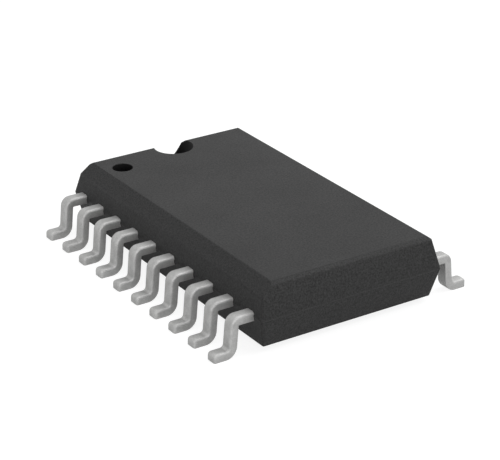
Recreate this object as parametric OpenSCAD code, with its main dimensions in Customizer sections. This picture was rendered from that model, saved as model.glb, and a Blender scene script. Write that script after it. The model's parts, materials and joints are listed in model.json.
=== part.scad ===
// Wide small-outline package, 20 gull-wing leads at 1.27 mm pitch.
// Millimetres. The origin is on the seating plane, under the middle of the
// package. +Z is up, +Y points to the notched end and -X is the side of pin 1.

/* [Moulded body] */
// Length of the body at its parting line
body_length = 12.9; // [12.6:0.05:13]
// Width of the body at its parting line
body_width = 7.49; // [7.4:0.01:7.6]
// Thickness of the body, underside to top face
body_thickness = 2.28; // [2.1:0.01:2.4]
// Height of the parting line above the underside
parting_rise = 1.1; // [1:0.01:1.2]
// Air gap between the seating plane and the underside
standoff = 0.23; // [0.1:0.01:0.3]
// Draft of the long sides, in degrees
side_draft = 12; // [5:0.5:15]
// Draft of the two end faces, in degrees
end_draft = 14; // [5:0.5:16]
// Width and height of the chamfer round the top face
top_chamfer = 0.12; // [0.05:0.01:0.2]
// Radius of the four upright corners
corner_r = 0.1; // [0.05:0.01:0.2]

/* [Pin 1 marks] */
// Width of the bevel along the pin 1 side, seen from above
bevel_width = 0.49; // [0.3:0.01:0.75]
// Height of that bevel
bevel_height = 0.44; // [0.25:0.01:0.6]
// Radius of the bevel's lower edge
bevel_edge_r = 0.15; // [0.05:0.01:0.3]
// Radius of the end notch at the top face
notch_r = 0.76; // [0.5:0.01:0.9]
// Depth of the end notch
notch_depth = 0.6; // [0.3:0.01:0.7]
// Draft of the notch wall, in degrees
notch_draft = 12; // [5:1:15]
// How far the notch's round floor runs out through the end face
notch_runout = 0.09; // [0.02:0.01:0.2]
// Distance of the notch's centre from the middle, away from pin 1
notch_offset = 0.26; // [0:0.01:0.3]
// Radius of the pin 1 dimple
dimple_r = 0.385; // [0.25:0.005:0.5]
// Depth of the pin 1 dimple
dimple_depth = 0.3; // [0.1:0.01:0.4]
// Distance of the dimple's centre from the pin 1 side of the body
dimple_from_side = 1.32; // [1.2:0.01:1.8]
// Distance of the dimple's centre from the end of the body
dimple_from_end = 1.44; // [1:0.01:1.8]

/* [Leads] */
// Number of leads along each long side
leads_per_side = 10; // [10:1:10]
// Pitch of the leads
pitch = 1.27; // [1.2:0.01:1.27]
// Overall width across the tips of the feet
tip_span = 10.64; // [10:0.01:10.65]
// Width of a lead outside the body
lead_width = 0.46; // [0.31:0.01:0.51]
// Thickness of the leadframe strip
strip_t = 0.32; // [0.2:0.01:0.33]
// Radius on the inside of the bend at the top of the riser
knee_r = 0.03; // [0.02:0.01:0.15]
// Radius on the inside of the bend above the foot
heel_r = 0.12; // [0.05:0.01:0.2]
// Lean of the riser away from upright, in degrees
riser_lean = 5; // [0:0.5:8]
// Length of the flat sole of a foot
foot_length = 0.5; // [0.4:0.005:0.8]

/* [Leadframe inside the body] */
// Straight length of a lead just inside the body
root_length = 0.3; // [0.2:0.05:0.4]
// Width of the locking wings
wing_width = 0.66; // [0.5:0.01:0.8]
// Length of the locking wings along the lead
wing_length = 0.4; // [0.3:0.05:0.5]
// Width of an inner finger
finger_width = 0.3; // [0.25:0.01:0.34]
// Pitch of the finger tips beside the pad
tip_pitch = 0.9; // [0.8:0.01:1]
// Gap between the finger tips and the die pad
tip_gap = 0.25; // [0.15:0.01:0.3]
// Width of the die pad
pad_width = 2.6; // [2.3:0.05:2.8]
// Length of the die pad
pad_length = 6.6; // [5.5:0.05:7]
// How far the die pad lies below the plane of the fingers
downset = 0.3; // [0.2:0.01:0.35]
// Width of a tie bar
tie_width = 0.4; // [0.3:0.01:0.6]
// Length along a tie bar over which it rises out of the downset
tie_ramp = 0.5; // [0.4:0.05:0.8]
// Moulding compound left between a tie bar and the end face
tie_cover = 0.15; // [0.1:0.01:0.3]

/* [Die and bond wires] */
// Width of the silicon die
die_width = 1.9; // [1.5:0.05:2.2]
// Length of the silicon die
die_length = 3.9; // [3.6:0.05:4.4]
// Thickness of the silicon die
die_t = 0.3; // [0.2:0.01:0.35]
// Thickness of the adhesive under the die
attach_t = 0.03; // [0.02:0.005:0.05]
// Border of adhesive round the die
attach_border = 0.08; // [0.04:0.01:0.12]
// Diameter of a bond wire
wire_d = 0.033; // [0.025:0.001:0.034]
// Diameter of the flattened bond at each end of a wire
bond_d = 0.09; // [0.08:0.005:0.12]
// Height of that bond
bond_h = 0.04; // [0.035:0.005:0.06]
// Height to which a wire rises above the die
loop_height = 0.25; // [0.2:0.01:0.35]
// Share of a wire's run over which it stays level
level_share = 0.35; // [0.2:0.05:0.5]
// Pitch of the bonds along the die
bond_pitch = 0.36; // [0.3:0.01:0.38]
// Distance from a bond to the long edge of the die
bond_inset = 0.12; // [0.08:0.01:0.2]
// Distance from a finger's tip to the wire's stitch on it
stitch_inset = 0.15; // [0.1:0.01:0.2]

/* [Hidden] */
$fn = 48;
LEAD_COUNT = 2 * leads_per_side;

MOULD = "#4a4a4b";
TIN = "#b9bab8";
COPPER = "#b87a56";
ADHESIVE = "#d3d1c9";
SILICON = "#6d7383";
GOLD = "#d9a93f";

// heights above the seating plane
underside_z = standoff;
parting_z = standoff + parting_rise;
top_z = standoff + body_thickness;
strip_top_z = parting_z + strip_t / 2;
strip_bottom_z = parting_z - strip_t / 2;
pad_bottom_z = strip_bottom_z - downset;
pad_top_z = pad_bottom_z + strip_t;
die_bottom_z = pad_top_z + attach_t;
die_top_z = die_bottom_z + die_t;

// half sizes of the body's plan at the underside, parting line and top face
half_x = body_width / 2;
half_y = body_length / 2;
top_rise = top_z - parting_z;
under_x = half_x - parting_rise * tan(side_draft);
under_y = half_y - parting_rise * tan(end_draft);
top_x = half_x - top_rise * tan(side_draft);
top_y = half_y - top_rise * tan(end_draft);
// lower edge of the chamfer round the top face
lip_z = top_z - top_chamfer;
// angle between the flat sides that make up a rounded upright corner
CORNER_STEP = 22.5;
// longer than the body in any direction, for cutting and extruding through it
THROUGH = 2 * (body_length + tip_span);
// flat steps along each bend of a lead
BEND_STEPS = 10;

// the notch's round floor, placed by where it runs out through the end face
notch_floor_z = top_z - notch_depth;
notch_floor_r = notch_r - notch_depth * tan(notch_draft);
notch_y = half_y - (notch_floor_z - parting_z) * tan(end_draft) + notch_runout - notch_floor_r;

// mid-line radii and sweep of a lead's two bends
knee_mid_r = knee_r + strip_t / 2;
heel_mid_r = heel_r + strip_t / 2;
bend_sweep = 90 - riser_lean;
riser_length = (parting_z - strip_t / 2 - (knee_mid_r + heel_mid_r) * (1 - cos(bend_sweep)))
    / sin(bend_sweep);
heel_x = tip_span / 2 - foot_length;
knee_x = heel_x - (knee_mid_r + heel_mid_r) * sin(bend_sweep) - riser_length * cos(bend_sweep);

// where an inner finger starts and ends, from the middle of the package
finger_x = half_x - root_length - wing_length;
tip_x = pad_width / 2 + tip_gap;

// distance of a lead from the middle of its row
function row_y(place) = ((leads_per_side - 1) / 2 - place) * pitch;

// corner i of a closed outline, counted past either end
function corner(outline, i) = outline[(i + len(outline)) % len(outline)];
function unit(v) = v / norm(v);
// unit vectors from corner i to the corners on either side of it
function back(outline, i) = unit(corner(outline, i - 1) - outline[i]);
function ahead(outline, i) = unit(corner(outline, i + 1) - outline[i]);
// half of the angle inside corner i
function half_angle(outline, i) = acos(back(outline, i) * ahead(outline, i)) / 2;

// A convex outline with a radius at each corner, 0 for a sharp one.
module rounded_outline(outline, radii) {
    polygon([
        for (i = [0:len(outline) - 1])
            let (reach = radii[i] / tan(half_angle(outline, i)))
            each (radii[i] == 0
                ? [outline[i]]
                : [outline[i] + reach * back(outline, i), outline[i] + reach * ahead(outline, i)])
    ]);
    for (i = [0:len(outline) - 1])
        if (radii[i] > 0)
            translate(outline[i] + radii[i] / sin(half_angle(outline, i))
                * unit(back(outline, i) + ahead(outline, i)))
                circle(r = radii[i]);
}

// An upright section swept level through the package, square to the heading.
module swept(heading) {
    rotate([0, 0, heading])
        rotate([90, 0, 0])
            linear_extrude(height = THROUGH, center = true)
                children();
}

// Reach of a rounded rectangle's edge from its middle, along a heading.
function reach_at(heading, x, y) =
    (x - corner_r) * abs(cos(heading)) + (y - corner_r) * abs(sin(heading)) + corner_r;

// The drafted pair of faces square to a heading, with the top chamfer.
module drafted_slab(heading) {
    under = reach_at(heading, under_x, under_y);
    parting = reach_at(heading, half_x, half_y);
    top = reach_at(heading, top_x, top_y);
    lip = top + (parting - top) * top_chamfer / top_rise;
    swept(heading)
        polygon([
            [under, underside_z], [parting, parting_z], [lip, lip_z], [top - top_chamfer, top_z],
            [top_chamfer - top, top_z], [-lip, lip_z], [-parting, parting_z], [-under, underside_z]]);
}

// The same across the package, with the bevel along the pin 1 side.
module bevelled_slab() {
    lip_x = top_x + top_chamfer * tan(side_draft);
    bevel_x = top_x + bevel_height * tan(side_draft);
    swept(0)
        rounded_outline(
            [[under_x, underside_z], [half_x, parting_z], [lip_x, lip_z], [top_x - top_chamfer, top_z],
             [bevel_width - bevel_x, top_z], [-bevel_x, top_z - bevel_height],
             [-half_x, parting_z], [-under_x, underside_z]],
            [0, 0, 0, 0, 0, bevel_edge_r, 0, 0]);
}

module notch() {
    // the cone runs on above the top face at the same draft
    translate([notch_offset, notch_y, notch_floor_z])
        cylinder(h = 2 * notch_depth, r1 = notch_floor_r, r2 = 2 * notch_r - notch_floor_r);
}

module dimple() {
    translate([dimple_from_side - half_x, half_y - dimple_from_end, top_z - dimple_depth])
        cylinder(h = 2 * dimple_depth, r = dimple_r);
}

// The compound as it leaves the mould, before what it encloses is taken out.
module moulded_block() {
    difference() {
        intersection() {
            bevelled_slab();
            intersection_for (heading = [CORNER_STEP:CORNER_STEP:180 - CORNER_STEP])
                drafted_slab(heading);
        }
        notch();
        dimple();
    }
}

// The compound flows round everything else, so its hollow is their own shape.
module mould_body() {
    color(MOULD)
        difference() {
            moulded_block();
            for (pin = [1:LEAD_COUNT]) {
                lead(pin);
                bond_wire(pin);
            }
            die_pad();
            die_attach();
            silicon_die();
        }
}

// A flat bar from one plan point to another, with a round end at the second.
module bar(from, to, width, height) {
    along = to - from;
    translate(from)
        rotate([0, 0, atan2(along[1], along[0])])
            translate([0, -width / 2, 0])
                cube([norm(along), width, height]);
    translate(to)
        cylinder(h = height, d = width);
}

// Points along an arc, both ends included.
function arc(centre, radius, from, to) = [
    for (step = [0:BEND_STEPS])
        let (angle = from + (to - from) * step / BEND_STEPS)
        centre + radius * [cos(angle), sin(angle)]
];

// The strip's side view, from inside the body out to the tip of the foot.
module gull_wing() {
    root_x = finger_x + wing_length / 2;
    knee = [knee_x, parting_z - knee_mid_r];
    heel = [heel_x, strip_t / 2 + heel_mid_r];
    rotate([90, 0, 0])
        linear_extrude(height = lead_width, center = true)
            polygon(concat(
                [[root_x, strip_top_z]],
                arc(knee, knee_r + strip_t, 90, riser_lean),
                arc(heel, heel_r, 180 + riser_lean, 270),
                [[tip_span / 2, strip_t], [tip_span / 2, 0]],
                arc(heel, heel_r + strip_t, 270, 180 + riser_lean),
                arc(knee, knee_r, riser_lean, 90),
                [[root_x, strip_bottom_z]]));
}

// The part of a lead inside the body: locking wings and a finger to the pad.
module inner_finger(place) {
    translate([finger_x, -wing_width / 2, strip_bottom_z])
        cube([wing_length, wing_width, strip_t]);
    translate([0, 0, strip_bottom_z])
        bar(
            [finger_x + wing_length / 2, 0],
            [tip_x + finger_width / 2, row_y(place) * (tip_pitch / pitch - 1)],
            finger_width, strip_t);
}

// One lead of the +X row, place counted from the notched end.
module row_lead(place) {
    translate([0, row_y(place), 0]) {
        gull_wing();
        inner_finger(place);
    }
}

// Pins run down the -X side from the notched end, and back up the +X side.
module on_pin_side(pin) {
    if (pin <= leads_per_side)
        mirror([1, 0, 0])
            children();
    else
        children();
}
function place_of(pin) = pin <= leads_per_side ? pin - 1 : LEAD_COUNT - pin;

module lead(pin) {
    color(TIN)
        on_pin_side(pin)
            row_lead(place_of(pin));
}

// A tie bar leaves the pad's end and rises to the plane of the fingers.
module tie_bar() {
    pad_end = pad_length / 2;
    bar_end = half_y - tie_cover;
    rotate([90, 0, 90])
        translate([0, 0, -tie_width / 2])
            linear_extrude(height = tie_width)
                polygon([
                    [0, pad_bottom_z], [pad_end, pad_bottom_z],
                    [pad_end + tie_ramp, strip_bottom_z], [bar_end, strip_bottom_z],
                    [bar_end, strip_top_z], [pad_end + tie_ramp, strip_top_z],
                    [pad_end, pad_top_z], [0, pad_top_z]]);
}

module die_pad() {
    color(COPPER) {
        translate([-pad_width / 2, -pad_length / 2, pad_bottom_z])
            cube([pad_width, pad_length, strip_t]);
        tie_bar();
        mirror([0, 1, 0])
            tie_bar();
    }
}

module die_attach() {
    width = die_width + 2 * attach_border;
    length = die_length + 2 * attach_border;
    color(ADHESIVE)
        translate([-width / 2, -length / 2, pad_top_z])
            cube([width, length, attach_t]);
}

module silicon_die() {
    color(SILICON)
        translate([-die_width / 2, -die_length / 2, die_bottom_z])
            cube([die_width, die_length, die_t]);
}

// The flattened end of a wire, on the die or on a finger.
module bond() {
    cylinder(h = bond_h, d = bond_d);
}

// A straight stretch of wire between two points of its upright plane. It runs
// past the second by the overlap. Eight flats make its round section.
module stretch(from, to, overlap) {
    along = to - from;
    translate([from[0], 0, from[1]])
        rotate([0, atan2(along[0], along[1]), 0])
            cylinder(h = norm(along) + overlap, d = wire_d, $fn = 8);
}

// A wire of the +X row: up from the die, level for a while, then down to the
// finger. Its upright plane stands on the line between the two bonds.
module row_wire(place) {
    start = [die_width / 2 - bond_inset, row_y(place) * bond_pitch / pitch];
    end = [tip_x + stitch_inset, row_y(place) * tip_pitch / pitch];
    run = end - start;
    route = [
        [0, die_top_z + bond_h / 2],
        [0, die_top_z + loop_height],
        [level_share * norm(run), die_top_z + loop_height],
        [norm(run), strip_top_z + bond_h / 2]];
    translate(start)
        rotate([0, 0, atan2(run[1], run[0])]) {
            for (i = [1:len(route) - 1])
                stretch(route[i - 1], route[i], i < len(route) - 1 ? wire_d / 2 : 0);
            translate([0, 0, die_top_z])
                bond();
            translate([norm(run), 0, strip_top_z])
                bond();
        }
}

module bond_wire(pin) {
    color(GOLD)
        on_pin_side(pin)
            row_wire(place_of(pin));
}

mould_body();
for (pin = [1:LEAD_COUNT])
    lead(pin);
die_pad();
die_attach();
silicon_die();
for (pin = [1:LEAD_COUNT])
    bond_wire(pin);
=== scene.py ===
import json
import math

import bmesh
import bpy
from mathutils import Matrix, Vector


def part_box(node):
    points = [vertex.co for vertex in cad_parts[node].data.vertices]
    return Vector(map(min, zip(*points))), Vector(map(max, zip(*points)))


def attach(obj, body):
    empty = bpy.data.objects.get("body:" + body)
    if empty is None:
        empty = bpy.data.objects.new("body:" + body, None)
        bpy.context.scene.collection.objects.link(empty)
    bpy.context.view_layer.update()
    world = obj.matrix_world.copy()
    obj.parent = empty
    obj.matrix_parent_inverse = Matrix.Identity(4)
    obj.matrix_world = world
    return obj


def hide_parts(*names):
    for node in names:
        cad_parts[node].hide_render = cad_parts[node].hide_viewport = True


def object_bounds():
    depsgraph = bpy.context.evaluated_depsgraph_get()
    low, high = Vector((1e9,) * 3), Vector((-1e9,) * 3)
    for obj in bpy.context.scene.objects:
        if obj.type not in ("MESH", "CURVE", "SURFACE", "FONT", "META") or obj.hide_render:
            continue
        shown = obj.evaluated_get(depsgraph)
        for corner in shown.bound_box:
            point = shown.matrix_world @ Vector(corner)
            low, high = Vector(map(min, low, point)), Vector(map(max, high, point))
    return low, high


MM = 0.001

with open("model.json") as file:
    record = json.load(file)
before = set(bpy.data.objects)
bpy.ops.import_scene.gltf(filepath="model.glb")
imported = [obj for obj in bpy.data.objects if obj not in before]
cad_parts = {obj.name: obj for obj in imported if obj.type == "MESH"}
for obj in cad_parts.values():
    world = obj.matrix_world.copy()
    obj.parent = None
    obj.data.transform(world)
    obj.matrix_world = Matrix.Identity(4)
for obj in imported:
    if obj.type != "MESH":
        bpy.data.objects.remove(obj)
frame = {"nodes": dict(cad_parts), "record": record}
cad_low, cad_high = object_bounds()

# ------------------------------------------------ sizes of the package, in mm
body_low, body_high = (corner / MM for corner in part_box("mould_body"))
HALF_X = body_high.x
HALF_Y = body_high.y
UNDERSIDE_Z = body_low.z
TOP_Z = body_high.z
STRIP_T = 0.32
# the strip leaves the body with the parting line at its middle
PARTING_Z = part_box("lead_1")[1].z / MM - STRIP_T / 2
SIDE_TAPER = math.tan(math.radians(12))
END_TAPER = math.tan(math.radians(14))
TOP_CHAMFER = 0.12
BEVEL_WIDTH = 0.49
BEVEL_HEIGHT = 0.44
NOTCH_R = 0.76
NOTCH_DEPTH = 0.6
NOTCH_TAPER = math.tan(math.radians(12))
NOTCH_RUNOUT = 0.09
NOTCH_X = 0.26
DIMPLE_R = 0.385
DIMPLE_DEPTH = 0.3
DIMPLE_AT = Vector((1.32 - HALF_X, HALF_Y - 1.44))

UNDER_X = HALF_X - (PARTING_Z - UNDERSIDE_Z) * SIDE_TAPER
UNDER_Y = HALF_Y - (PARTING_Z - UNDERSIDE_Z) * END_TAPER
TOP_X = HALF_X - (TOP_Z - PARTING_Z) * SIDE_TAPER
TOP_Y = HALF_Y - (TOP_Z - PARTING_Z) * END_TAPER
NOTCH_FLOOR_Z = TOP_Z - NOTCH_DEPTH
NOTCH_FLOOR_R = NOTCH_R - NOTCH_DEPTH * NOTCH_TAPER
NOTCH_Y = HALF_Y - (NOTCH_FLOOR_Z - PARTING_Z) * END_TAPER + NOTCH_RUNOUT - NOTCH_FLOOR_R
BEVEL_X = TOP_X + BEVEL_HEIGHT * SIDE_TAPER
# the two recesses by their axis, how far they reach from it, and the height of their floor
RECESSES = (
    (Vector((NOTCH_X, NOTCH_Y)), NOTCH_R, NOTCH_FLOOR_Z),
    (DIMPLE_AT, DIMPLE_R, TOP_Z - DIMPLE_DEPTH),
)
# along a lead, from the middle of the body: the silver spot on the finger's tip ends, the
# rolled edges start just outside the locking wings, their shading evens out still inside
# the compound, and the tin starts
SILVER_SPOT_X = 2.1
ROUNDED_X = HALF_X - 0.25
EVEN_X = HALF_X - 0.1
PLATED_X = HALF_X - 0.04

# radii that a moulded edge keeps, by the two kinds of face that meet there; any other
# edge stays sharp
MOULD_RADII = {
    frozenset(["wall"]): 0.10,
    frozenset(["bevel", "wall"]): 0.10,
    frozenset(["chamfer"]): 0.08,
    frozenset(["chamfer", "wall"]): 0.06,
    frozenset(["chamfer", "top"]): 0.12,
    frozenset(["bevel", "top"]): 0.12,
    frozenset(["underside", "wall"]): 0.05,
    frozenset(["recess", "top"]): 0.02,
    frozenset(["recess", "chamfer"]): 0.01,
}
# the long edge between the bevel and the side wall
BEVEL_EDGE_R = 0.15
# the punch rolls the edges over on the side it comes from, and cuts the other side sharp
ROLLED_R = 0.10
CUT_R = 0.02
TOE_R = 0.15
SOLE_R = 0.08

# distances in mm below which places are taken as one, and points as the same point
SAME_PLACE = 0.001
SAME_POINT = 1e-4
# decimals kept of a coordinate, so that faces which meet lie in exactly one plane
DECIMALS = 5
# faces that turn by less than the first are one flat, and an edge that turns by more than
# the second is a corner of a lead's strip, not a facet of its bend
FLAT_ANGLE = math.radians(0.5)
CORNER_ANGLE = math.radians(40)
MOULD_CORNER_ANGLE = math.radians(5)
# a recess's own faces end this far below the top
RIM = 0.01

# how finely round forms are cut, and the angle up to which a surface is shaded as one
ROUNDING_SEGMENTS = 5
NOTCH_SIDES = 96
DIMPLE_SIDES = 64
SMOOTH_ANGLE = math.radians(21)

# ------------------------------------------------------------------- lights
# how bright the world is to all but the eye and gloss, where it is 1, which is white
WORLD_FILL = 0.46
# one softbox above and a little to the right, one low in front; powers in watts, and
# the size and distance in metres
KEY_FROM = Vector((0.52, -0.15, 0.84))
KEY_POWER = 0.46
FRONT_FROM = Vector((-0.35, -0.93, 0.05))
FRONT_POWER = 0.44
SOFTBOX_SIZE = 0.3
SOFTBOX_AWAY = 0.3
# light that the paper gives off by itself: to the eye, and in gloss
FLOOR_GLOW = 0.86
FLOOR_SHEEN = 0.3
FLOOR_SIZE = 4.0

# ------------------------------------------------------------------- camera
EYE = Vector((-35.095, -53.749, 30.902)) * MM
SENSOR_MM = 36.0
LENS_MM = 140.0
# what the camera takes in, in metres from it
NEAREST = 0.001
FURTHEST = 10.0


def make_camera():
    data = bpy.data.cameras.new("camera")
    data.sensor_width = SENSOR_MM
    data.lens = LENS_MM
    data.clip_start = NEAREST
    data.clip_end = FURTHEST
    camera = bpy.data.objects.new("camera", data)
    bpy.context.collection.objects.link(camera)
    camera.location = EYE
    camera.rotation_mode = "QUATERNION"
    camera.rotation_quaternion = ((cad_low + cad_high) / 2 - EYE).to_track_quat("-Z", "Y")
    bpy.context.scene.camera = camera


# ---------------------------------------------------------------- materials
def linear(hex_colour):
    """The scene's own linear colour for an sRGB hex value."""
    parts = [int(hex_colour[i:i + 2], 16) / 255 for i in (1, 3, 5)]
    return [c / 12.92 if c <= 0.04045 else ((c + 0.055) / 1.055) ** 2.4 for c in parts] + [1.0]


def add(tree, kind, settings=None, **inputs):
    """Adds a node. An input goes by its name, or by _ and its number, and gets a plain value,
    a socket to link, or a node whose first live output is linked."""
    node = tree.nodes.new(kind)
    for key, value in (settings or {}).items():
        setattr(node, key, value)
    for key, value in inputs.items():
        if key[1:].isdigit():
            socket = node.inputs[int(key[1:])]
        else:
            socket = next(s for s in node.inputs if s.enabled and s.name == key.replace("_", " "))
        if isinstance(value, bpy.types.Node):
            value = next(s for s in value.outputs if s.enabled)
        if isinstance(value, bpy.types.NodeSocket):
            tree.links.new(value, socket)
        else:
            socket.default_value = value
    return node


def new_material(name):
    """A material with no nodes, its tree, and Object coordinates counted in millimetres,
    so that a pattern's scale is its count per millimetre."""
    material = bpy.data.materials.new(name)
    material.use_nodes = True
    tree = material.node_tree
    tree.nodes.clear()
    place = add(tree, "ShaderNodeTexCoord")
    return material, tree, add(
        tree, "ShaderNodeMapping", Vector=place.outputs["Object"], Scale=(1 / MM,) * 3)


def finish_material(tree, **surface):
    shader = add(tree, "ShaderNodeBsdfPrincipled", **surface)
    add(tree, "ShaderNodeOutputMaterial", Surface=shader)


def textured_compound():
    # Epoxy mould compound, black with carbon, against a spark-eroded mould: an even
    # dark grey with no gloss, a very fine pitted grain and a few paler filler grains.
    material, tree, mm = new_material("epoxy mould compound, spark-eroded texture")
    # the real pits are 0.03 mm across, drawn at twice that so that they show
    pits = add(tree, "ShaderNodeTexNoise", Vector=mm, Scale=16.0, Detail=3.0, Roughness=0.6)
    filler = add(tree, "ShaderNodeTexVoronoi", Vector=mm, Scale=9.0)
    flow = add(tree, "ShaderNodeTexNoise", Vector=mm, Scale=0.45, Detail=2.0)
    depth = add(tree, "ShaderNodeMapRange", Value=pits, From_Min=0.3, From_Max=0.7)
    tone = add(
        tree, "ShaderNodeMix", {"data_type": "RGBA"},
        Factor=depth, A=linear("#212121"), B=linear("#3e3e3e"))
    drift = add(tree, "ShaderNodeMapRange", Value=flow, From_Min=0.35, From_Max=0.65, To_Max=0.1)
    tone = add(
        tree, "ShaderNodeMix", {"data_type": "RGBA"}, Factor=drift, A=tone, B=linear("#414141"))
    grain = add(
        tree, "ShaderNodeMapRange", Value=filler, From_Min=0.05, From_Max=0.12,
        To_Min=0.25, To_Max=0.0)
    tone = add(
        tree, "ShaderNodeMix", {"data_type": "RGBA"}, Factor=grain, A=tone, B=linear("#666666"))
    # where the two mould halves meet they leave a rubbed line, about 0.03 mm wide
    height = add(tree, "ShaderNodeSeparateXYZ", Vector=mm).outputs["Z"]
    above = add(tree, "ShaderNodeMath", {"operation": "SUBTRACT"}, _0=height, _1=PARTING_Z)
    away = add(tree, "ShaderNodeMath", {"operation": "ABSOLUTE"}, _0=above)
    line = add(
        tree, "ShaderNodeMapRange", Value=away, From_Min=0.01, From_Max=0.03,
        To_Min=0.3, To_Max=0.0)
    tone = add(
        tree, "ShaderNodeMix", {"data_type": "RGBA"}, Factor=line, A=tone, B=linear("#474747"))
    bump = add(tree, "ShaderNodeBump", Strength=0.3, Distance=0.008 * MM, Height=pits)
    rough = add(
        tree, "ShaderNodeMapRange", Value=flow, From_Min=0.3, From_Max=0.7,
        To_Min=0.5, To_Max=0.58)
    finish_material(
        tree, Base_Color=tone, Roughness=rough, IOR=1.55, Specular_IOR_Level=0.14, Normal=bump)
    return material


def smooth_compound_with_painted_shade():
    # The same compound where a smooth core pin shaped it, with hardly any grain, and darker:
    # partly its smoother finish, partly painted shade of the notch and dimple.
    material, tree, mm = new_material("epoxy mould compound, smooth from the core pin")
    skin = add(tree, "ShaderNodeTexNoise", Vector=mm, Scale=7.0, Detail=2.0)
    # painted shade: the notch and dimple get a darker grey than the textured faces
    tone = add(
        tree, "ShaderNodeMix", {"data_type": "RGBA"},
        Factor=skin, A=linear("#171717"), B=linear("#202020"))
    bump = add(tree, "ShaderNodeBump", Strength=0.1, Distance=0.004 * MM, Height=skin)
    rough = add(
        tree, "ShaderNodeMapRange", Value=skin, From_Min=0.3, From_Max=0.7,
        To_Min=0.45, To_Max=0.55)
    finish_material(
        tree, Base_Color=tone, Roughness=rough, IOR=1.55, Specular_IOR_Level=0.08, Normal=bump)
    return material


def plated_strip():
    # Copper alloy strip, stamped, then matte tin plated where it stands outside the body: a
    # satin pale grey with a fine frosty grain, and bare warm copper inside the compound,
    # with a spot of silver at the tip of the finger for the bond.
    material, tree, mm = new_material("copper alloy strip, stamped and matte tin plated")
    # tin grains are about 0.005 mm, drawn ten times as coarse
    frost = add(tree, "ShaderNodeTexNoise", Vector=mm, Scale=20.0, Detail=3.0, Roughness=0.6)
    cloud = add(tree, "ShaderNodeTexNoise", Vector=mm, Scale=3.0, Detail=2.0)
    patch = add(tree, "ShaderNodeMapRange", Value=cloud, From_Min=0.3, From_Max=0.7)
    tin = add(
        tree, "ShaderNodeMix", {"data_type": "RGBA"},
        Factor=patch, A=linear("#acacab"), B=linear("#bdbdbc"))
    speck = add(tree, "ShaderNodeMapRange", Value=frost, From_Min=0.35, From_Max=0.65, To_Max=0.25)
    tin = add(
        tree, "ShaderNodeMix", {"data_type": "RGBA"}, Factor=speck, A=tin, B=linear("#8f8f8f"))
    copper = add(
        tree, "ShaderNodeMix", {"data_type": "RGBA"},
        Factor=patch, A=linear("#b8724e"), B=linear("#c98560"))
    across = add(tree, "ShaderNodeSeparateXYZ", Vector=mm).outputs["X"]
    reach = add(tree, "ShaderNodeMath", {"operation": "ABSOLUTE"}, _0=across)
    spot = add(tree, "ShaderNodeMath", {"operation": "LESS_THAN"}, _0=reach, _1=SILVER_SPOT_X)
    inner = add(
        tree, "ShaderNodeMix", {"data_type": "RGBA"}, Factor=spot, A=copper, B=linear("#d9d7d2"))
    outside = add(tree, "ShaderNodeMath", {"operation": "GREATER_THAN"}, _0=reach, _1=PLATED_X)
    tone = add(tree, "ShaderNodeMix", {"data_type": "RGBA"}, Factor=outside, A=inner, B=tin)
    bump = add(tree, "ShaderNodeBump", Strength=0.25, Distance=0.004 * MM, Height=frost)
    rough = add(
        tree, "ShaderNodeMapRange", Value=frost, From_Min=0.3, From_Max=0.7,
        To_Min=0.54, To_Max=0.66)
    finish_material(tree, Base_Color=tone, Metallic=1.0, Roughness=rough, Normal=bump)
    return material


def rolled_copper():
    # Copper alloy sheet, rolled and stamped: warm, with fine rolling lines along the pad.
    material, tree, mm = new_material("copper alloy sheet, rolled and stamped")
    along = add(tree, "ShaderNodeMapping", Vector=mm, Scale=(30.0, 1.2, 6.0))
    lines = add(tree, "ShaderNodeTexNoise", Vector=along, Scale=1.0, Detail=3.0)
    stain = add(tree, "ShaderNodeTexNoise", Vector=mm, Scale=0.9, Detail=3.0)
    tone = add(
        tree, "ShaderNodeMix", {"data_type": "RGBA"},
        Factor=stain, A=linear("#b36c48"), B=linear("#cc8a64"))
    groove = add(tree, "ShaderNodeMapRange", Value=lines, From_Min=0.35, From_Max=0.65, To_Max=0.3)
    tone = add(
        tree, "ShaderNodeMix", {"data_type": "RGBA"}, Factor=groove, A=tone, B=linear("#9a5b3c"))
    bump = add(tree, "ShaderNodeBump", Strength=0.2, Distance=0.002 * MM, Height=lines)
    rough = add(
        tree, "ShaderNodeMapRange", Value=lines, From_Min=0.3, From_Max=0.7,
        To_Min=0.28, To_Max=0.42)
    finish_material(tree, Base_Color=tone, Metallic=1.0, Roughness=rough, Normal=bump)
    return material


def silver_adhesive():
    # Epoxy filled with silver flakes, cured: a dull pale grey paste with tiny bright flakes.
    material, tree, mm = new_material("silver-filled epoxy, cured")
    flakes = add(tree, "ShaderNodeTexVoronoi", Vector=mm, Scale=45.0)
    lumps = add(tree, "ShaderNodeTexNoise", Vector=mm, Scale=6.0, Detail=3.0)
    tone = add(
        tree, "ShaderNodeMix", {"data_type": "RGBA"},
        Factor=lumps, A=linear("#a8a49b"), B=linear("#c9c6be"))
    shine = add(
        tree, "ShaderNodeMapRange", Value=flakes, From_Min=0.1, From_Max=0.3,
        To_Min=0.9, To_Max=0.3)
    bump = add(tree, "ShaderNodeBump", Strength=0.4, Distance=0.01 * MM, Height=lumps)
    rough = add(
        tree, "ShaderNodeMapRange", Value=lumps, From_Min=0.3, From_Max=0.7,
        To_Min=0.45, To_Max=0.65)
    finish_material(tree, Base_Color=tone, Metallic=shine, Roughness=rough, Normal=bump)
    return material


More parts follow.
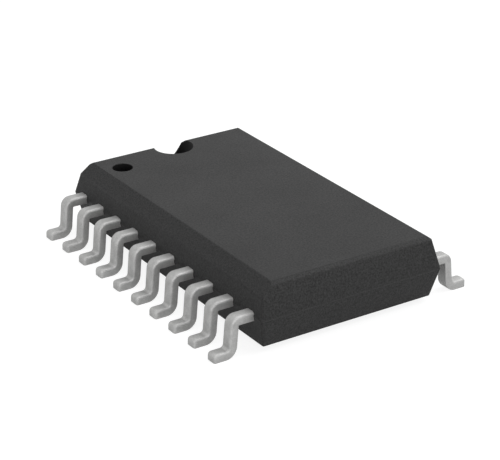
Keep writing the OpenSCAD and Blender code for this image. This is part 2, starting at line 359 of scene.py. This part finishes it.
def diced_silicon():
    # Silicon, diced from a wafer and glassed over: mirror grey with a faint blue film. The
    # top is a grid of plain blocks, far coarser than a real circuit so that it shows.
    material, tree, mm = new_material("silicon die, diced and passivated")
    blocks = add(
        tree, "ShaderNodeTexBrick", {"offset": 0.37, "squash": 1.6, "squash_frequency": 3},
        Vector=mm, Color1=linear("#5d6672"), Color2=linear("#75707f"), Mortar=linear("#a39a88"),
        Scale=1.0, Mortar_Size=0.012, Brick_Width=0.31, Row_Height=0.17)
    film = add(tree, "ShaderNodeTexNoise", Vector=mm, Scale=1.4, Detail=1.0)
    tint = add(tree, "ShaderNodeMapRange", Value=film, From_Min=0.3, From_Max=0.7, To_Max=0.45)
    tone = add(
        tree, "ShaderNodeMix", {"data_type": "RGBA"}, Factor=tint, A=blocks, B=linear("#56698a"))
    rough = add(
        tree, "ShaderNodeMapRange", Value=film, From_Min=0.3, From_Max=0.7,
        To_Min=0.12, To_Max=0.2)
    finish_material(tree, Base_Color=tone, Metallic=0.6, Roughness=rough)
    return material


def drawn_gold():
    # Gold wire, drawn through a die: bright yellow with faint streaks.
    material, tree, mm = new_material("gold wire, drawn")
    streaks = add(tree, "ShaderNodeTexNoise", Vector=mm, Scale=60.0, Detail=2.0)
    tone = add(
        tree, "ShaderNodeMix", {"data_type": "RGBA"},
        Factor=streaks, A=linear("#d9a441"), B=linear("#f0c060"))
    rough = add(
        tree, "ShaderNodeMapRange", Value=streaks, From_Min=0.3, From_Max=0.7,
        To_Min=0.18, To_Max=0.3)
    finish_material(tree, Base_Color=tone, Metallic=1.0, Roughness=rough)
    return material


# ------------------------------------------------------------------- pieces
def make_active(piece):
    for thing in bpy.context.selected_objects:
        thing.select_set(False)
    piece.select_set(True)
    bpy.context.view_layer.objects.active = piece


def working_copy(node, name):
    """A merged copy of a CAD node, in millimetres while it is being worked on."""
    piece = bpy.data.objects.new(name, frame["nodes"][node].data.copy())
    bpy.context.collection.objects.link(piece)
    piece.data.materials.clear()
    make_active(piece)
    bpy.ops.object.mode_set(mode="EDIT")
    bpy.ops.mesh.select_all(action="SELECT")
    bpy.ops.transform.resize(value=(1 / MM,) * 3, center_override=(0, 0, 0))
    bpy.ops.mesh.remove_doubles(threshold=SAME_POINT)
    bpy.ops.mesh.dissolve_limited(angle_limit=FLAT_ANGLE)
    bpy.ops.object.mode_set(mode="OBJECT")
    for vertex in piece.data.vertices:
        vertex.co = [round(c, DECIMALS) for c in vertex.co]
    return piece


def apply_modifier(piece, kind, **settings):
    make_active(piece)
    modifier = piece.modifiers.new(kind.lower(), kind)
    for key, value in settings.items():
        setattr(modifier, key, value)
    bpy.ops.object.modifier_apply(modifier=modifier.name)


def round_edges(piece, radius_of):
    """Rounds each edge to the radius that radius_of(edge) gives, 0 for one that stays sharp."""
    mesh = bmesh.new()
    mesh.from_mesh(piece.data)
    mesh.normal_update()
    weight = mesh.edges.layers.float.new("bevel_weight_edge")
    setbacks = {
        edge: radius_of(edge) * math.tan(edge.calc_face_angle() / 2)
        for edge in mesh.edges if edge.is_manifold}
    widest = max(setbacks.values())
    for edge, setback in setbacks.items():
        edge[weight] = setback / widest
    mesh.to_mesh(piece.data)
    mesh.free()
    apply_modifier(
        piece, "BEVEL", width=widest, segments=ROUNDING_SEGMENTS, limit_method="WEIGHT",
        use_clamp_overlap=False)


def finish_piece(piece, node, slot, *materials):
    make_active(piece)
    piece.scale = (MM,) * 3
    bpy.ops.object.transform_apply(location=False, rotation=False, scale=True)
    bpy.ops.object.shade_smooth_by_angle(angle=SMOOTH_ANGLE)
    apply_modifier(piece, "WEIGHTED_NORMAL", keep_sharp=True, weight=100)
    for material in materials:
        piece.data.materials.append(material)
    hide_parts(node)
    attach(piece, "root")


def make_lead(pin):
    """A lead with the rolled edges that its punch leaves."""
    piece = working_copy(f"lead_{pin}", f"formed_lead_{pin}")
    outward = math.copysign(1, piece.data.vertices[0].co.x)

    def radius_of(edge):
        middle = (edge.verts[0].co + edge.verts[1].co) / 2
        if middle.x * outward < ROUNDED_X + SAME_PLACE or edge.calc_face_angle() < CORNER_ANGLE:
            return 0
        normals = [face.normal for face in edge.link_faces]
        toes = [n for n in normals if n.x * outward > 0.999]
        strips = [n for n in normals if abs(n.y) < 0.9 and n not in toes]
        if toes:
            return SOLE_R if strips and strips[0].z < 0 else TOE_R
        return ROLLED_R if strips[0].x * outward + strips[0].z > 0 else CUT_R

    # cuts across the strip, both inside the body: the rounding ends at the first, and the
    # second keeps the shading of that end out of sight
    make_active(piece)
    bpy.ops.object.mode_set(mode="EDIT")
    for cut_x in (ROUNDED_X, EVEN_X):
        bpy.ops.mesh.select_all(action="SELECT")
        bpy.ops.mesh.bisect(plane_co=(outward * cut_x, 0, 0), plane_no=(1, 0, 0))
    bpy.ops.object.mode_set(mode="OBJECT")
    round_edges(piece, radius_of)
    return piece


def slice_off(point, normal):
    """Cuts off all that lies beyond a plane, and closes the cut."""
    bpy.ops.mesh.select_all(action="SELECT")
    bpy.ops.mesh.bisect(plane_co=point, plane_no=normal, use_fill=True, clear_outer=True)


def taper(low_z, high_z, low_half, high_half):
    """Extrudes the selected face upwards, from one half size to the other."""
    bpy.ops.mesh.extrude_region_move(TRANSFORM_OT_translate={"value": (0, 0, high_z - low_z)})
    bpy.ops.transform.resize(
        value=(high_half[0] / low_half[0], high_half[1] / low_half[1], 1),
        center_override=(0, 0, high_z))


def cut_away(piece, cutter, **settings):
    apply_modifier(
        piece, "BOOLEAN", operation="DIFFERENCE", solver="EXACT", object=cutter, **settings)
    bpy.data.objects.remove(cutter)


def make_body(leads):
    """The compound: two drafted halves, the pin 1 marks, and a hollow that fits all inside."""
    bpy.ops.mesh.primitive_plane_add(size=2)
    piece = bpy.context.active_object
    piece.name = "moulded_casting"
    bpy.ops.object.mode_set(mode="EDIT")
    bpy.ops.transform.resize(value=(UNDER_X, UNDER_Y, 1), center_override=(0, 0, 0))
    bpy.ops.transform.translate(value=(0, 0, UNDERSIDE_Z))
    taper(UNDERSIDE_Z, PARTING_Z, (UNDER_X, UNDER_Y), (HALF_X, HALF_Y))
    taper(PARTING_Z, TOP_Z, (HALF_X, HALF_Y), (TOP_X, TOP_Y))
    slice_off((BEVEL_WIDTH - BEVEL_X, 0, TOP_Z), (-BEVEL_HEIGHT, 0, BEVEL_WIDTH))
    for way in (Vector((1, 0, 0)), Vector((0, 1, 0)), Vector((0, -1, 0))):
        size, draft = (TOP_X, SIDE_TAPER) if way.x else (TOP_Y, END_TAPER)
        slice_off(
            way * (size - TOP_CHAMFER) + Vector((0, 0, TOP_Z)),
            way * TOP_CHAMFER + Vector((0, 0, TOP_CHAMFER * (1 + draft))))
    bpy.ops.mesh.select_all(action="SELECT")
    bpy.ops.mesh.normals_make_consistent(inside=False)
    bpy.ops.object.mode_set(mode="OBJECT")

    bpy.ops.mesh.primitive_cone_add(
        vertices=NOTCH_SIDES, radius1=NOTCH_FLOOR_R, radius2=2 * NOTCH_R - NOTCH_FLOOR_R,
        depth=2 * NOTCH_DEPTH, location=(NOTCH_X, NOTCH_Y, TOP_Z))
    cut_away(piece, bpy.context.active_object)
    bpy.ops.mesh.primitive_cylinder_add(
        vertices=DIMPLE_SIDES, radius=DIMPLE_R, depth=2 * DIMPLE_DEPTH,
        location=(*DIMPLE_AT, TOP_Z))
    cut_away(piece, bpy.context.active_object)
    round_edges(piece, moulded_radius)
    mark_recesses(piece)

    copies = [lead.copy() for lead in leads]
    for copy in copies:
        copy.data = copy.data.copy()
        bpy.context.collection.objects.link(copy)
    enclosed = ["die_pad", "die_attach", "silicon_die"]
    enclosed += [f"bond_wire_{pin}" for pin in range(1, 21)]
    copies += [working_copy(node, "hollow") for node in enclosed]
    for copy in copies:
        copy.select_set(True)
    bpy.ops.object.join()
    cut_away(piece, bpy.context.active_object, use_self=True)
    return piece


def way_it_faces(face):
    """What a face of the moulded block is."""
    middle = face.calc_center_median()
    end_wall = abs(face.normal.x) < 0.001 and face.normal.y > 0.9
    for axis, reach, floor_z in RECESSES:
        inside = (middle.xy - axis).length < reach and floor_z - RIM < middle.z < TOP_Z - RIM
        if inside and not end_wall:
            return "recess"
    if face.normal.z > 0.99:
        return "top"
    if face.normal.z < -0.99:
        return "underside"
    if face.normal.z > 0.5:
        return "bevel" if face.normal.x < -0.5 else "chamfer"
    return "wall"


def mark_recesses(piece):
    """Gives the second material, darkened with painted shade, to what the core pins shaped."""
    mesh = bmesh.new()
    mesh.from_mesh(piece.data)
    mesh.normal_update()
    for face in mesh.faces:
        face.material_index = 1 if way_it_faces(face) == "recess" else 0
    mesh.to_mesh(piece.data)
    mesh.free()


def moulded_radius(edge):
    kinds = frozenset(way_it_faces(face) for face in edge.link_faces)
    middle = (edge.verts[0].co + edge.verts[1].co) / 2
    level = abs(edge.verts[0].co.z - edge.verts[1].co.z) < SAME_PLACE
    if edge.calc_face_angle() < MOULD_CORNER_ANGLE or (kinds == {"wall"} and level):
        return 0
    # the bevel's long edge has its middle half way along the body, its end edges don't
    if kinds == {"bevel", "wall"} and level and abs(middle.y) < 1:
        return BEVEL_EDGE_R
    return MOULD_RADII.get(kinds, 0)


# -------------------------------------------------------------------- stage
def make_stage():
    bpy.ops.mesh.primitive_plane_add(size=FLOOR_SIZE)
    floor = bpy.context.active_object
    floor.name = "floor"
    material, tree, mm = new_material("white seamless paper")
    ray = add(tree, "ShaderNodeLightPath")
    seen = ray.outputs["Is Camera Ray"]
    fibre = add(tree, "ShaderNodeTexNoise", Vector=mm, Scale=2.0, Detail=4.0)
    paper = add(
        tree, "ShaderNodeMix", {"data_type": "RGBA"},
        Factor=fibre, A=linear("#dadada"), B=linear("#e0e0e0"))
    # the paper is white to the eye and keeps a faint shadow, and only its own pale grey
    # throws light back up at the chip
    paper = add(
        tree, "ShaderNodeMix", {"data_type": "RGBA"}, Factor=seen, A=paper, B=linear("#959595"))
    shade = add(tree, "ShaderNodeBsdfDiffuse", Color=paper)
    gloss = add(
        tree, "ShaderNodeMath", {"operation": "MAXIMUM"},
        _0=ray.outputs["Is Glossy Ray"], _1=ray.outputs["Is Transmission Ray"])
    mirrored = add(
        tree, "ShaderNodeMath", {"operation": "MULTIPLY"}, _0=gloss, _1=FLOOR_SHEEN)
    glow = add(tree, "ShaderNodeMapRange", Value=seen, To_Min=mirrored, To_Max=FLOOR_GLOW)
    lit = add(tree, "ShaderNodeEmission", Color=(1, 1, 1, 1), Strength=glow)
    both = add(tree, "ShaderNodeAddShader", _0=shade.outputs["BSDF"], _1=lit.outputs["Emission"])
    add(tree, "ShaderNodeOutputMaterial", Surface=both)
    floor.data.materials.append(material)

    world = bpy.data.worlds.new("studio")
    bpy.context.scene.world = world
    world.use_nodes = True
    tree = world.node_tree
    tree.nodes.clear()
    ray = add(tree, "ShaderNodeLightPath")
    seen = add(
        tree, "ShaderNodeMath", {"operation": "MAXIMUM"},
        _0=ray.outputs["Is Camera Ray"], _1=ray.outputs["Is Glossy Ray"])
    seen = add(
        tree, "ShaderNodeMath", {"operation": "MAXIMUM"},
        _0=seen, _1=ray.outputs["Is Transmission Ray"])
    strength = add(tree, "ShaderNodeMapRange", Value=seen, To_Min=WORLD_FILL, To_Max=1.0)
    backdrop = add(tree, "ShaderNodeBackground", Color=(1, 1, 1, 1), Strength=strength)
    add(tree, "ShaderNodeOutputWorld", Surface=backdrop)


def softbox(name, direction, power):
    """A square area lamp that faces the chip from a direction."""
    data = bpy.data.lights.new(name, "AREA")
    data.size = SOFTBOX_SIZE
    data.energy = power
    light = bpy.data.objects.new(name, data)
    bpy.context.collection.objects.link(light)
    light.location = direction.normalized() * SOFTBOX_AWAY
    light.rotation_mode = "QUATERNION"
    light.rotation_quaternion = (-light.location).to_track_quat("-Z", "Y")


bpy.context.scene.view_settings.view_transform = "Standard"
make_camera()
leads = [make_lead(pin) for pin in range(1, 21)]
body = make_body(leads)
TIN = plated_strip()
finish_piece(body, "mould_body", "mould_compound", textured_compound(), smooth_compound_with_painted_shade())
for pin, lead in enumerate(leads, 1):
    finish_piece(lead, f"lead_{pin}", "tinned_lead", TIN)
ENCLOSED = {
    "copper_alloy": rolled_copper(),
    "silver_epoxy": silver_adhesive(),
    "silicon": diced_silicon(),
    "gold_wire": drawn_gold(),
}
for subpart in frame["record"]["subparts"]:
    if subpart["material_slot"] in ENCLOSED:
        node = frame["nodes"][subpart["node"]]
        node.data.materials.clear()
        node.data.materials.append(ENCLOSED[subpart["material_slot"]])
make_stage()
softbox("overhead", KEY_FROM, KEY_POWER)
softbox("frontal", FRONT_FROM, FRONT_POWER)
